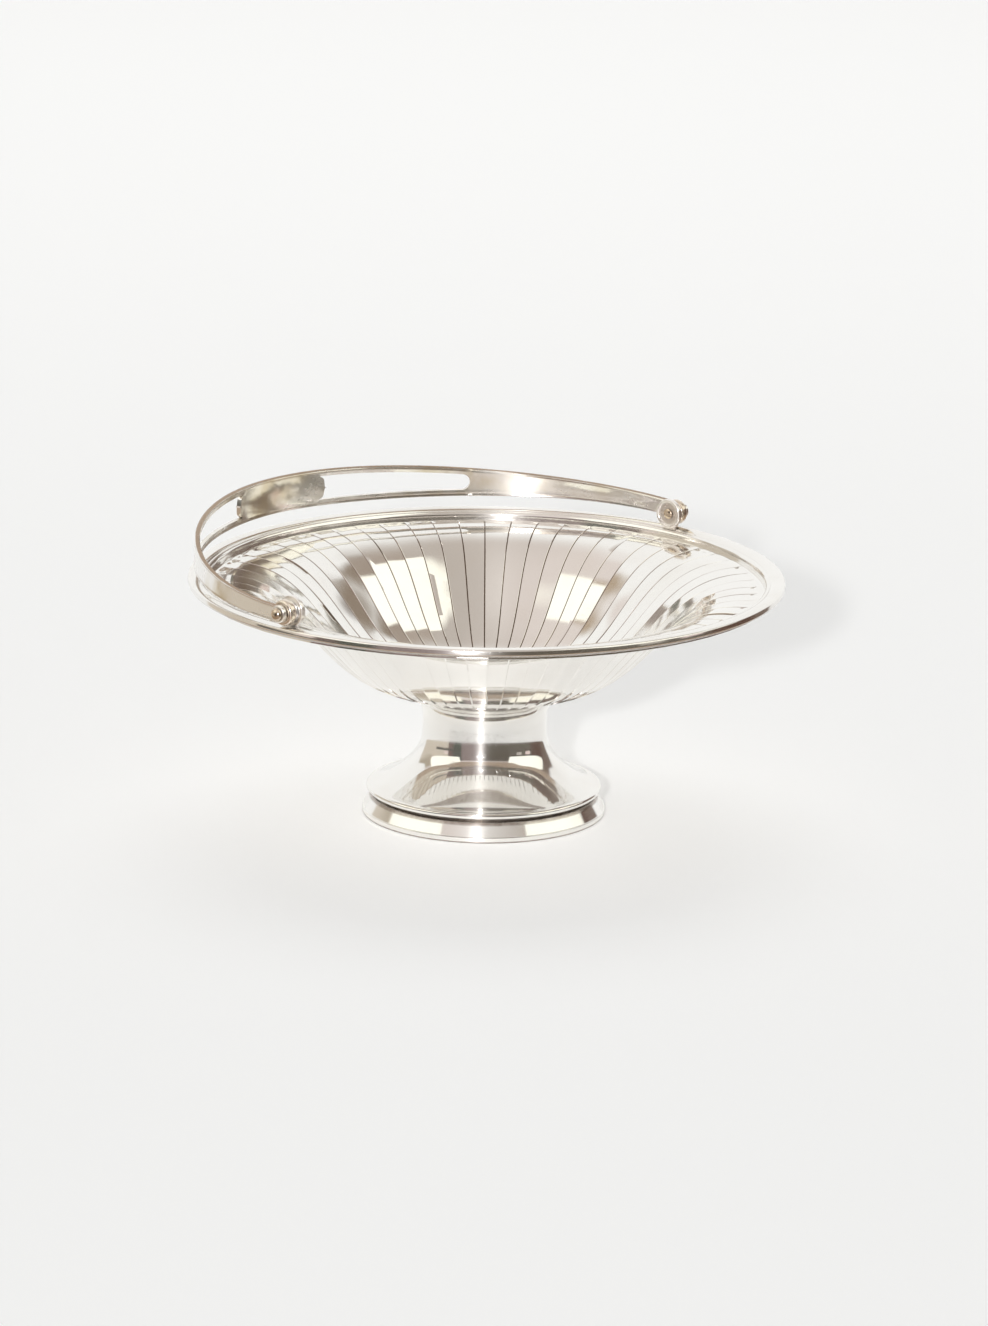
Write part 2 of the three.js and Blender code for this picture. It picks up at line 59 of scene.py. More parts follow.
# The controls of the wall's curve, as (radius, height)
WALL_CONTROLS = [(40.0, 56.0), (73.3, 63.4), (74.0, 98.8), (113.0, 98.3)]
CREASE_DEPTH = 0.32
CREASE_HALF_WIDTH = 0.32
PANEL_LEAN = 0.09
PANEL_BOW = 0.11
PANEL_BELLY = 0.05
PANEL_SINK = 0.3
PANEL_ARCH = 1.3
PANEL_WAVES = 1.6
PANEL_CHANCE = 11
# How dark the creases' grime and painted shade are on the underside, as a share of the inside's
UNDERSIDE_GRIME_AND_SHADE = 0.12

# Sizes of the rim border
BORDER_INNER = 116.4
BORDER_GROOVE = 2.2
BORDER_FLOOR = 98.6
BORDER_SEAT = 0.02
BORDER_OUTER_FOOT = 2.2

# Sizes of the pedestal and foot
FLARE_RADIUS = 36.5
NECK_RADIUS = 26.2
NECK_HEIGHT = 41.0
NECK_PULL = 9.6
WAIST_RADIUS = 28.8
WAIST_HEIGHT = 26.2
WAIST_TILT = math.radians(30.4)
WAIST_PULL_UP = 5.1
WAIST_PULL_DOWN = 8.4
LEDGE_SWEEP = 3.0
LEDGE_RADIUS = 49.6
LEDGE_HEIGHT = 10.8
LEDGE_BEAD = 1.3
NOTCH_RADIUS = 46.4
NOTCH_HEIGHT = 7.4
PEDESTAL_WALL = 1.0
FOOT_RADIUS = 51.1
FOOT_EDGE = 2.4
FOOT_WALL = 2.0
FOOT_LIP = 1.45

# Sizes of the handle
HOOP_HALF_SPAN = 126.3
HOOP_REACH = 122.0
HOOP_FULLNESS = 0.49
HOOP_TILT = math.radians(3.6)
STRAP_THICKNESS = 1.6
STRAP_BEAD = 0.25
STRAP_BEAD_WIDTH = 0.9
STRAP_CROWN = 0.2
STRAP_EDGE = 0.12
STRAP_END_WIDTH = 6.8
STRAP_MIDDLE_WIDTH = 16.0
STRAP_TAPER = 0.9
STRAP_STRIP = 2.7
CARTOUCHE_HALF = 24.0
CARTOUCHE_TIP = 3.6
SLOT_OUTER_END = 94.5
EYE_THICKNESS = 2.2
EYE_RADIUS = 3.6

# Sizes of the hinges
PIVOT_HEIGHT = 108.2
EAR_INNER = 117.3
EAR_OUTER = 119.7
EAR_RADIUS = 6.4
EAR_RING = 1.3
EAR_DISH = 0.7
EAR_NECK = 5.2
EAR_FOOT = 9.0
EAR_NECK_TOP = 0.8
EAR_NECK_FLARE = 0.55
EAR_NECK_CURVE = 2.2
# The border's top under the ear's neck, as (distance along X, height)
BORDER_BED = [(116.0, 99.0), (116.5, 100.4), (117.3, 101.2), (118.3, 101.1), (118.7, 101.2), (119.3, 101.9),
              (120.5, 102.25), (122.0, 102.3)]
WASHER_INNER = 120.0
WASHER_OUTER = 120.8
WASHER_RADIUS = 4.6
WASHER_EDGE = 0.12
BOSS_INNER = 121.1
BOSS_OUTER = 124.9
BOSS_RADIUS = 5.4
BOSS_ROUNDING = 1.3
BORE_RADIUS = 1.8
PIN_RADIUS = 1.5
PIN_HEAD_FACE = 127.7
PIN_HEAD_RADIUS = 2.7
PIN_HEAD_HEIGHT = 1.9
PIN_TAIL_RADIUS = 2.3
PIN_TAIL_HEIGHT = 0.8
SEAT_GAP = 0.3

# Edges sharper than this, in degrees, stay crisp on the handle and the hinges
HINGE_SHARP = 36.0

# How many points the dish has up its wall, the hoop has and is smoothed over on each side of a point, and the
# turned pieces have round them
DISH_WALL_POINTS = 62
HOOP_POINTS = 6001
HOOP_SMOOTHING = 20
BORDER_TURN = 360
PEDESTAL_TURN = 256
HINGE_TURN = 64
PIN_TURN = 48

# The camera's place and lens, fitted to the photograph, in metres, radians and pixels
CAMERA_DISTANCE = 2.6
CAMERA_AZIMUTH = math.radians(-48.6)
CAMERA_ELEVATION = math.radians(15.138)
CAMERA_PAN = math.radians(0.079)
CAMERA_TILT = math.radians(-0.296)
CAMERA_ROLL = math.radians(-0.812)
AIM_HEIGHT = 0.05
FOCAL_PIXELS = 6184.0
IMAGE_LONG_SIDE = 1326.0
SENSOR = 36.0

# The floor, in metres
FLOOR_BACK, FLOOR_BACK_SIDE, FLOOR_REACH = 6.0, 2.5, 14.0
FLOOR_DROP = 0.0002
FLOOR_STEP = 0.00005
SHEET_REACH = 0.176
SHEET_TURN = 125

# The lamps: powers in watts, sizes and distances in metres, the two even ones as a strength
FLASH_TURN = math.radians(6.5)
FLASH_ELEVATION = math.radians(16.5)
FLASH_DISTANCE = 6.0
FLASH_ACROSS = 0.23
FLASH_POWER, GLINT_POWER = 160.0, 140.0
OVERHEAD_POWER = 20.0
OVERHEAD_HEIGHT, OVERHEAD_BACK, OVERHEAD_ACROSS = 2.4, 2.0, 2.4
EVEN_STRENGTH = 1.30
SKY_STRENGTH = 0.80
SKY_SPREAD = math.radians(140)


# Curves and grids

def bezier(controls, count):
    """Points of a Bezier curve: the sum of its controls weighted by the Bernstein polynomials of t."""
    controls = np.asarray(controls, float)
    degree = len(controls) - 1
    t = np.linspace(0.0, 1.0, count)[:, None]
    weights = [math.comb(degree, k) * (1 - t) ** (degree - k) * t ** k for k in range(degree + 1)]
    return sum(weight * control for weight, control in zip(weights, controls))


def chain(*parts):
    """One polyline from several, without the repeated points where one part ends and the next starts."""
    points = [np.atleast_2d(np.asarray(part, float)) for part in parts]
    line = np.concatenate(points)
    keep = np.r_[True, np.linalg.norm(np.diff(line, axis=0), axis=1) > 1e-6]
    return line[keep]


def arc(centre, radius, start, end, count):
    """Points of a circle's arc: centre plus radius times (cos, sin) of an angle from start to end, in
    degrees."""
    turn = np.radians(np.linspace(start, end, count))
    return np.stack([centre[0] + radius * np.cos(turn), centre[1] + radius * np.sin(turn)], 1)


def resample(line, count):
    """The same polyline at evenly spaced distances along it."""
    line = np.asarray(line, float)
    run = np.r_[0.0, np.cumsum(np.linalg.norm(np.diff(line, axis=0), axis=1))]
    at = np.linspace(0.0, run[-1], count)
    return np.stack([np.interp(at, run, line[:, k]) for k in range(line.shape[1])], 1)


def left_normals(line):
    """Unit normals to the left of a polyline's direction, from the line between each point's neighbours."""
    along = np.gradient(line, axis=0)
    along /= np.linalg.norm(along, axis=1)[:, None]
    return np.stack([-along[:, 1], along[:, 0]], 1)


def smooth_step(low, high, value):
    """0 below low, 1 above high, and 3t^2 - 2t^3 in between."""
    t = np.clip((value - low) / (high - low), 0.0, 1.0)
    return t * t * (3 - 2 * t)


def grid_faces(rows, columns):
    """Quads between neighbouring points of a grid whose last column joins its first."""
    row = np.arange(rows - 1)[:, None] * columns
    column = np.arange(columns)[None, :]
    after = (column + 1) % columns
    corners = [row + column, row + after, row + columns + after, row + columns + column]
    return np.stack(np.broadcast_arrays(*corners), -1).reshape(-1, 4)


def revolve(profile, segments, grime_and_shade=None):
    """A (radius, height) profile turned about Z: x = r cos a, y = r sin a. A closed profile repeats its
    first point."""
    profile = np.asarray(profile, float)
    turn = np.linspace(0.0, 2 * math.pi, segments, endpoint=False)
    radius = profile[:, :1]
    points = np.stack([radius * np.cos(turn), radius * np.sin(turn), profile[:, 1:2] + 0 * turn], -1)
    marks = np.zeros(len(profile)) if grime_and_shade is None else np.asarray(grime_and_shade, float)
    return points, np.broadcast_to(marks[:, None], points.shape[:2]), grid_faces(len(profile), segments)


def along_x(surface, side):
    """A surface laid down so that its axis is the hinge line along X, to the right or, for side -1, turned
    half round Z to the left."""
    points, grime_and_shade, faces = surface
    x, y, z = points[..., 0], points[..., 1], points[..., 2]
    turned = np.stack([side * z, side * y, -x + PIVOT_HEIGHT], -1)
    return turned, grime_and_shade, faces


def sound_faces(quads):
    """Quads with four different corners, and the triangles left of those that have two corners alike."""
    spread = np.sort(quads, axis=1)
    whole = (np.diff(spread, axis=1) > 0).all(1)
    halves = np.concatenate([quads[~whole][:, [0, 1, 2]], quads[~whole][:, [0, 2, 3]]])
    kept = (np.diff(np.sort(halves, axis=1), axis=1) > 0).all(1)
    return quads[whole], halves[kept]


def new_object(name, data):
    """An object at the origin that carries a mesh, a camera or a light, in the scene."""
    made = bpy.data.objects.new(name, data)
    bpy.context.scene.collection.objects.link(made)
    return made


def piece(name, surfaces, body, material, sharp_degrees):
    """An object at the origin from one or more closed surfaces in millimetres, with their grime and painted
    shade as an attribute. It rides on a body and stands for the CAD node of its name."""
    starts = np.cumsum([0] + [np.size(grime_and_shade) for _, grime_and_shade, _ in surfaces])
    points = np.concatenate([np.asarray(grid, float).reshape(-1, 3) for grid, _, _ in surfaces]) * MM
    marks = np.concatenate([np.asarray(grime_and_shade, float).reshape(-1) for _, grime_and_shade, _ in surfaces])
    corners = np.concatenate([faces + start for (_, _, faces), start in zip(surfaces, starts)])
    quads, triangles = sound_faces(corners)
    used = np.unique(np.concatenate([quads.ravel(), triangles.ravel()]))
    faces = np.searchsorted(used, quads).tolist() + np.searchsorted(used, triangles).tolist()
    mesh = bpy.data.meshes.new(name)
    mesh.from_pydata(points[used].tolist(), [], faces)
    mesh.attributes.new("grime_and_shade", "FLOAT", "POINT").data.foreach_set("value", marks[used])
    shaped = bmesh.new()
    shaped.from_mesh(mesh)
    bmesh.ops.remove_doubles(shaped, verts=shaped.verts, dist=WELD)
    bmesh.ops.recalc_face_normals(shaped, faces=shaped.faces)
    shaped.to_mesh(mesh)
    shaped.free()
    mesh.shade_smooth()
    mesh.set_sharp_from_angle(angle=math.radians(sharp_degrees))
    mesh.materials.append(material)
    made = new_object(name, mesh)
    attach(made, body)
    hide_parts(name.replace("plated_", "", 1))


# Shader maths

class Value:
    """One socket of a node tree, with the arithmetic that a formula needs."""

    def __init__(self, tree, socket):
        self.tree = tree
        self.socket = socket

    def node(self, kind, settings=(), out=0, **inputs):
        """Any node: its type, its settings, and the values or links of its sockets by name or i0, i1."""
        made = self.tree.nodes.new(kind)
        for key, value in dict(settings).items():
            setattr(made, key, value)
        for key, value in inputs.items():
            index = int(key[1:]) if key[0] == "i" and key[1:].isdigit() else key.replace("_", " ")
            target = made.inputs[index]
            if isinstance(value, Value):
                self.tree.links.new(value.socket, target)
            else:
                target.default_value = value
        return Value(self.tree, made.outputs[out])

    def math(self, operation, *values):
        """A Math node of values and numbers."""
        inputs = {f"i{k}": value for k, value in enumerate(values)}
        return self.node("ShaderNodeMath", {"operation": operation}, **inputs)

    def __add__(self, other):
        return self.math("ADD", self, other)

    def __sub__(self, other):
        return self.math("SUBTRACT", self, other)

    def __rsub__(self, other):
        return self.math("SUBTRACT", other, self)

    def __mul__(self, other):
        return self.math("MULTIPLY", self, other)

    def __truediv__(self, other):
        return self.math("DIVIDE", self, other)

    def __rtruediv__(self, other):
        return self.math("DIVIDE", other, self)

    def __neg__(self):
        return self.math("MULTIPLY", self, -1.0)

    __radd__ = __add__
    __rmul__ = __mul__

    def ramp(self, low, high):
        """0 at low, 1 at high, smooth in between."""
        return self.node("ShaderNodeMapRange", {"interpolation_type": "SMOOTHSTEP"}, Value=self,
                         From_Min=low, From_Max=high)

    def mix(self, first, second):
        """A colour that goes from first to second as this value goes from 0 to 1."""
        return self.node("ShaderNodeMix", {"data_type": "RGBA"}, out=2, i0=self, i6=first, i7=second)

    def noise(self, scale, detail, roughness, distortion=0.0):
        """Fractal noise of about 0 to 1 at this vector."""
        return self.node("ShaderNodeTexNoise", {"noise_dimensions": "3D"}, Vector=self, Scale=scale,
                         Detail=detail, Roughness=roughness, Distortion=distortion)


def shader_start(owner):
    """A Value without a socket, to start formulas from in the owner's emptied node tree."""
    owner.use_nodes = True
    owner.node_tree.nodes.clear()
    return Value(owner.node_tree, None)


def shader_end(shader, kind):
    """Link a finished shader to a new output node."""
    output = shader.tree.nodes.new(kind)
    shader.tree.links.new(shader.socket, output.inputs["Surface"])


# The plate's patterns in repeats per metre, the turn of its scratches, and the depth of a scratch in metres
CLOUD_SCALE, FINE_SCALE, WAVE_SCALE = 38.0, 420.0, 58.0
SCRATCH_STRETCH = (60.0, 2400.0, 2400.0)
CROSSED_STRETCH = (2100.0, 70.0, 2100.0)
SCRATCH_TURN = (0.4, 0.7, 1.1)
SCRATCH_BUMP = 0.00002


def plated(name, clean, tarnish, grime_and_shade_colour, roughness, scratch_depth, tarnish_reach, haze, wave_depth):
    """Plated metal: a bright coat with cloudy tarnish, a darker, rougher brown where the mesh marks grime and
    painted shade in recesses, under edges and along the foot's bottom, fine polishing scratches, the shallow
    waves that the press leaves, and a share of haze that smears a bright light up and down the turned
    surface."""
    material = bpy.data.materials.new(name)
    start = shader_start(material)
    place = start.node("ShaderNodeTexCoord", out="Object")
    grime_and_shade = start.node("ShaderNodeAttribute", {"attribute_name": "grime_and_shade"}, out="Fac")
    cloud = place.noise(CLOUD_SCALE, 5.0, 0.6, 0.4)
    fine = place.noise(FINE_SCALE, 3.0, 0.6)
    blotch = cloud.ramp(0.45, 0.75) * tarnish_reach
    rubbed = fine.ramp(0.3, 0.9)
    # Where the mesh marks grime and painted shade, the coat turns dark brown and rougher
    stained_and_shaded = (grime_and_shade * (0.75 + 0.5 * fine)).ramp(0.12, 0.85)
    coat = blotch.mix((*clean, 1.0), (*tarnish, 1.0))
    colour = stained_and_shaded.mix(coat, (*grime_and_shade_colour, 1.0))
    turned = place.node("ShaderNodeVectorRotate", {"rotation_type": "EULER_XYZ"}, Vector=place,
                        Rotation=SCRATCH_TURN)
    hair = start.node("ShaderNodeVectorMath", {"operation": "MULTIPLY"}, i0=turned, i1=SCRATCH_STRETCH)
    crossed = start.node("ShaderNodeVectorMath", {"operation": "MULTIPLY"}, i0=place, i1=CROSSED_STRETCH)
    scratches = hair.noise(1.0, 2.0, 0.5).ramp(0.62, 0.70) + crossed.noise(1.0, 2.0, 0.5).ramp(0.64, 0.71)
    gloss = roughness + 0.05 * cloud.ramp(0.35, 0.8) + 0.03 * rubbed + 0.05 * scratches + 0.22 * stained_and_shaded
    waves = start.node("ShaderNodeBump", Strength=1.0, Distance=wave_depth,
                       Height=place.noise(WAVE_SCALE, 1.0, 0.4))
    bumped = start.node("ShaderNodeBump", Strength=scratch_depth, Distance=SCRATCH_BUMP,
                        Height=0.5 * scratches + 0.5 * cloud, Normal=waves)
    sharp = start.node("ShaderNodeBsdfPrincipled", Base_Color=colour, Metallic=1.0, Roughness=gloss,
                       Normal=bumped)
    soft = start.node("ShaderNodeBsdfPrincipled", Base_Color=colour, Metallic=1.0, Roughness=0.40,
                      Anisotropic=0.95, Anisotropic_Rotation=0.25, Normal=bumped)
    mixed = start.node("ShaderNodeMixShader", i0=haze * (0.6 + 0.8 * cloud), i1=sharp, i2=soft)
    shader_end(mixed, "ShaderNodeOutputMaterial")
    return material


# Bright plate, light tarnish, and the dark brown of grime and painted shade in recesses
BRIGHT_PLATE, LIGHT_TARNISH, BROWN_GRIME_AND_SHADE = (0.95, 0.938, 0.91), (0.89, 0.85, 0.79), (0.26, 0.20, 0.16)

silver = plated("silver plate", BRIGHT_PLATE, LIGHT_TARNISH, BROWN_GRIME_AND_SHADE, roughness=0.035, scratch_depth=0.12,
                tarnish_reach=0.35, haze=0.15, wave_depth=0.00001)
pressed = plated("pressed silver plate", BRIGHT_PLATE, LIGHT_TARNISH, BROWN_GRIME_AND_SHADE, roughness=0.035,
                 scratch_depth=0.12, tarnish_reach=0.35, haze=0.09, wave_depth=0.00004)
eared = plated("rubbed silver plate", (0.96, 0.94, 0.92), (0.86, 0.77, 0.72), (0.50, 0.40, 0.34),
               roughness=0.10, scratch_depth=0.3, tarnish_reach=0.6, haze=0.45, wave_depth=0.00002)
strap = plated("handled silver plate", (0.95, 0.935, 0.90), (0.68, 0.59, 0.43), (0.36, 0.25, 0.16),
               roughness=0.045, scratch_depth=0.2, tarnish_reach=0.9, haze=0.26, wave_depth=0.00008)
worn = plated("worn silver plate", (0.86, 0.78, 0.68), (0.60, 0.46, 0.33), (0.14, 0.09, 0.06),
              roughness=0.12, scratch_depth=0.2, tarnish_reach=0.8, haze=0.25, wave_depth=0.00001)
brass = plated("tarnished brass", (0.70, 0.60, 0.48), (0.52, 0.40, 0.29), (0.16, 0.10, 0.07),
               roughness=0.12, scratch_depth=0.2, tarnish_reach=0.8, haze=0.1, wave_depth=0.00001)


# The dish

def dish_surface():
    """The dish's sheet: a profile from the well over the wall and lip and back underneath, turned about Z.

    A point's radius between two creases follows the chord, r cos(h) / cos(a - middle), where h is half a
    panel's angle, which makes each panel flat. It's then moved along the profile's normal by the panel's sink
    and slight unevenness and by the crease's V, all of which fade out at an arch near the lip and at the
    well."""
    wall = bezier(WALL_CONTROLS, 400)
    well_floor = WELL_EDGE_HEIGHT - WELL_DISHING
    well = bezier([(POLE, well_floor), (15.0, well_floor), (34.0, WELL_EDGE_HEIGHT - 0.9),
                   (WELL_RADIUS, WELL_EDGE_HEIGHT)], 60)
    lip = np.array([(PANEL_TOP_RADIUS, LIP_HEIGHT), (LIP_RADIUS, LIP_HEIGHT)])
    inside = chain(resample(well, 14)[:-1], resample(wall, DISH_WALL_POINTS), resample(lip, 10)[1:])
    lip_edge = LIP_RADIUS + LIP_ROUNDING
    rounding = np.array([(lip_edge, LIP_HEIGHT - 0.25), (lip_edge, LIP_HEIGHT - SHEET + 0.25)])
    fewer = chain(resample(well, 10)[:-1], resample(wall, 48), resample(lip, 8)[1:])
    below = fewer - left_normals(fewer) * SHEET
    below[:, 0] = np.maximum(below[:, 0], POLE)
    profile = np.concatenate([inside, rounding, below[::-1]])
    normal = np.concatenate([left_normals(inside), np.zeros((2, 2)), left_normals(fewer)[::-1]])
    radius, height = profile[:, :1], profile[:, 1:]
    panel = 2 * math.pi / PANEL_COUNT
    # A panel's columns: four from each crease to the crease's edge, and three between
    near = np.array([0.0, 0.4, 0.75, 1.0]) * CREASE_HALF_WIDTH
    shares = np.array([0.3, 0.5, 0.7])
    edge = near[1:][None, :] / np.maximum(radius, 8.0)
    inner_columns = edge[:, -1:] + shares[None, :] * (panel - 2 * edge[:, -1:])
    offsets = np.concatenate([np.zeros((len(profile), 1)), edge, inner_columns, panel - edge[:, ::-1]], 1)
    groove = np.concatenate([[1.0], 1 - near[1:] / CREASE_HALF_WIDTH, np.zeros(3),
                             1 - near[1:][::-1] / CREASE_HALF_WIDTH])
    turn = (offsets[:, None, :] + panel * np.arange(PANEL_COUNT)[None, :, None]).reshape(len(profile), -1)
    groove = np.tile(groove, PANEL_COUNT)[None, :]
    from_middle = np.tile((offsets - panel / 2) / (panel / 2), (1, PANEL_COUNT))
    arch_end = PANEL_TOP_RADIUS - 0.6 + PANEL_ARCH * (1 - from_middle ** 2)
    on_wall = 1 - smooth_step(-0.9, 0.3, radius - arch_end)
    on_wall = on_wall * smooth_step(WELL_RADIUS - 0.5, WELL_RADIUS + 2.5, radius)
    chord = np.tile(np.cos(panel / 2) / np.cos(offsets - panel / 2), (1, PANEL_COUNT))
    flat_radius = radius * (1 + (chord - 1) * smooth_step(WELL_RADIUS - 6, WELL_RADIUS + 4, radius))
    chance = np.random.RandomState(PANEL_CHANCE)
    columns = offsets.shape[1]
    lean, bow, belly, phase = (np.repeat(chance.uniform(-1, 1, PANEL_COUNT), columns) for _ in range(4))
    up_wall = (radius - WELL_RADIUS) / (PANEL_TOP_RADIUS - WELL_RADIUS)
    uneven = PANEL_LEAN * lean * from_middle + PANEL_BELLY * belly * (1 - from_middle ** 2)
    uneven = uneven + PANEL_BOW * bow * np.sin(2 * math.pi * (PANEL_WAVES * up_wall + phase))
    move = -on_wall * (PANEL_SINK + CREASE_DEPTH * groove + (1 - groove) * uneven)
    out = flat_radius + normal[:, :1] * move
    points = np.stack([out * np.cos(turn), out * np.sin(turn), height + normal[:, 1:] * move], -1)
    # Dark brown down each crease, grime and painted shade, strong inside and faint on the underside
    shown = np.where(np.arange(len(profile))[:, None] < len(inside), 1.0, UNDERSIDE_GRIME_AND_SHADE)
    grime_and_shade = on_wall * np.clip(groove * 1.6, 0, 1) * shown + 0 * turn
    return points, grime_and_shade, grid_faces(len(profile), points.shape[1])


piece("plated_bowl_shell", [dish_surface()], "bowl", pressed, 30.0)


# The rim border

def border_profile():
    """The moulding's outline: an inner bead, a fine groove, a broad low roll and an outer edge with a nearly
    upright band. Its inner foot reaches down to the lip."""
    inner, groove, outer = BORDER_INNER, BORDER_INNER + BORDER_GROOVE, RIM_RADIUS
    top, floor, seat = RIM_HEIGHT, BORDER_FLOOR, LIP_HEIGHT + BORDER_SEAT
    under = outer - BORDER_OUTER_FOOT
    return chain(
        [(inner, seat)],
        bezier([(inner, seat), (inner - 0.05, top - 2.6), (inner + 0.15, top - 2.2)], 5),
        bezier([(inner + 0.15, top - 2.2), (groove - 1.2, top - 0.75), (groove - 0.1, top - 1.15)], 10),
        bezier([(groove - 0.1, top - 1.15), (groove + 0.9, top - 0.05), (outer - 3, top)], 14),
        bezier([(outer - 3, top), (outer - 0.4, top), (outer - 0.22, top - 0.9)], 12),
        bezier([(outer - 0.22, top - 0.9), (outer, top - 2.0), (outer, top - 2.2)], 6),
        bezier([(outer, top - 2.2), (outer - 0.1, top - 3.4), (under, floor)], 8),
        resample([(under, floor), (inner + 0.5, floor)], 4),
        [(inner + 0.4, seat), (inner, seat)],
    )


border = border_profile()
border_out, border_up = border[:, 0], border[:, 1]
# Darker brown marks, grime and painted shade: faint in the groove, strong under the outer edge, and light at
# the inner foot where the border meets the lip
in_groove = np.exp(-((border_out - (BORDER_INNER + 2.1)) / 0.35) ** 2) * (border_up > 99.5)
under_edge = smooth_step(0.6, 0.0, np.abs(border_up - 99.3)) * (border_out > 123)
at_inner_foot = smooth_step(0.9, 0.2, np.abs(border_up - 99.6)) * (border_out < 117)
border_grime_and_shade = in_groove * 0.2 + under_edge * 0.75 + at_inner_foot * 0.3
piece("plated_rim_border", [revolve(border, BORDER_TURN, border_grime_and_shade)], "bowl", silver, 40.0)


# The pedestal and the foot

def dish_underside(radius):
    """Height of the dish's underside at a radius inside the well: a straight cone."""
    return WELL_EDGE_HEIGHT - WELL_DISHING * (1 - radius / WELL_RADIUS) - SHEET


def pedestal_line():
    """The stem's outer face from the flare to the notch: three Bezier curves, a half-round bead and a
    step."""
    top = dish_underside(FLARE_RADIUS) - SEAT_GAP - PEDESTAL_WALL
    bead = LEDGE_RADIUS - LEDGE_BEAD
    waist = np.array([WAIST_RADIUS, WAIST_HEIGHT])
    along = np.array([math.sin(WAIST_TILT), -math.cos(WAIST_TILT)])
    return chain(
        bezier([(FLARE_RADIUS, top), (FLARE_RADIUS - 7, top - 2), (NECK_RADIUS, NECK_HEIGHT + 6),
                (NECK_RADIUS, NECK_HEIGHT)], 26),
        bezier([(NECK_RADIUS, NECK_HEIGHT), (NECK_RADIUS, NECK_HEIGHT - NECK_PULL),
                waist - WAIST_PULL_UP * along, waist], 30),
        bezier([waist, waist + WAIST_PULL_DOWN * along, (bead - LEDGE_SWEEP, LEDGE_HEIGHT + LEDGE_BEAD),
                (bead, LEDGE_HEIGHT + LEDGE_BEAD)], 44),
        arc((bead, LEDGE_HEIGHT), LEDGE_BEAD, 90, -90, 14),
        bezier([(bead, LEDGE_HEIGHT - LEDGE_BEAD), (NOTCH_RADIUS + 0.3, LEDGE_HEIGHT - LEDGE_BEAD - 0.2),
                (NOTCH_RADIUS, NOTCH_HEIGHT)], 6),
    )


stem_out = pedestal_line()
stem_normal = left_normals(stem_out)
stem_in = stem_out - np.sign(stem_normal[20, 0]) * PEDESTAL_WALL * stem_normal
stem = np.concatenate([stem_out, stem_in[::-1], stem_out[:1]])
# Darker brown under the ledge's bead and where the stem meets the dish, grime and painted shade, and evenly
# inside the hollow
under_ledge, at_flare = smooth_step(9.6, 8.2, stem_out[:, 1]), smooth_step(51.0, 52.4, stem_out[:, 1])
in_hollow, on_seam = np.full(len(stem_in), 0.35), 0.6
stem_shell = revolve(stem, PEDESTAL_TURN, np.r_[under_ledge * 0.5 + at_flare * 0.6, in_hollow, on_seam])
piece("plated_pedestal_stem", [stem_shell], "bowl", silver, 40.0)


def foot_profile():
    """The spun foot: a square resting edge, a short upright side, a straight skirt that ends in a small
    rolled lip, and the hollow under it."""
    top = NOTCH_HEIGHT - SEAT_GAP
    lip = NOTCH_RADIUS + FOOT_LIP
    shoulder = (FOOT_RADIUS - 0.4, FOOT_EDGE + 0.08)
    inner_edge, inner_top = (FOOT_RADIUS - FOOT_WALL, 0.0), (NOTCH_RADIUS - FOOT_WALL, top)
    return chain(
        [inner_edge],
        [(FOOT_RADIUS - 0.15, 0.0), (FOOT_RADIUS, 0.15)],
        resample([(FOOT_RADIUS, 0.15), (FOOT_RADIUS, FOOT_EDGE - 0.35)], 4),
        bezier([(FOOT_RADIUS, FOOT_EDGE - 0.35), (FOOT_RADIUS, FOOT_EDGE), shoulder], 5),
        resample([shoulder, (lip, top + 0.5)], 8)[1:],
        bezier([(lip, top + 0.5), (lip - 0.2, top + 0.9), (lip - 0.55, top + 0.6)], 5),
        [(NOTCH_RADIUS + 0.4, top), (NOTCH_RADIUS, top)],
        bezier([inner_top, (NOTCH_RADIUS - 0.6, 1.2), inner_edge], 12),
    )


foot = foot_profile()
# Darker brown up in the notch under the bead, grime and painted shade, and a painted contact shadow along the
# bottom edge
in_notch, painted_contact_shadow = smooth_step(5.8, 7.2, foot[:, 1]), smooth_step(1.0, 0.1, foot[:, 1])
foot_shell = revolve(foot, PEDESTAL_TURN, in_notch * 0.6 + painted_contact_shadow * 0.8)
piece("plated_foot_flange", [foot_shell], "bowl", silver, 34.0)


# The handle

def hoop_line(count):
    """The strap's centre line in the hoop's plane, at even distances: two short uprights joined by two
    Bezier quarters."""
    side, start = HOOP_HALF_SPAN, BOSS_RADIUS
    full = HOOP_FULLNESS
    shoulder = (side, start + (HOOP_REACH - start) * full)
    right = bezier([(side, start), shoulder, (side * full, HOOP_REACH), (0, HOOP_REACH)], 1500)
    line = chain([(side, 0)], right, right[::-1] * (-1, 1), [(-side, 0)])
    return resample(line, count)


HOOP = hoop_line(HOOP_POINTS)
HOOP_LENGTH = float(np.linalg.norm(np.diff(HOOP, axis=0), axis=1).sum())


def hoop_at(distance):
    """Place and outward normal on the hoop at a distance from its top, read off the even polyline, whose
    direction is first smoothed by a running mean."""
    share = (np.asarray(distance) / HOOP_LENGTH + 0.5) * (len(HOOP) - 1)
    index = np.arange(len(HOOP))
    mean = np.ones(2 * HOOP_SMOOTHING + 1) / (2 * HOOP_SMOOTHING + 1)
    along = np.pad(np.gradient(HOOP, axis=0), ((HOOP_SMOOTHING, HOOP_SMOOTHING), (0, 0)), "edge")
    place = np.stack([np.interp(share, index, HOOP[:, k]) for k in (0, 1)], -1)
    along = np.stack([np.interp(share, index, np.convolve(along[:, k], mean, "valid")) for k in (0, 1)], -1)
    along /= np.linalg.norm(along, axis=-1, keepdims=True)
    return place, np.stack([along[..., 1], -along[..., 0]], -1)


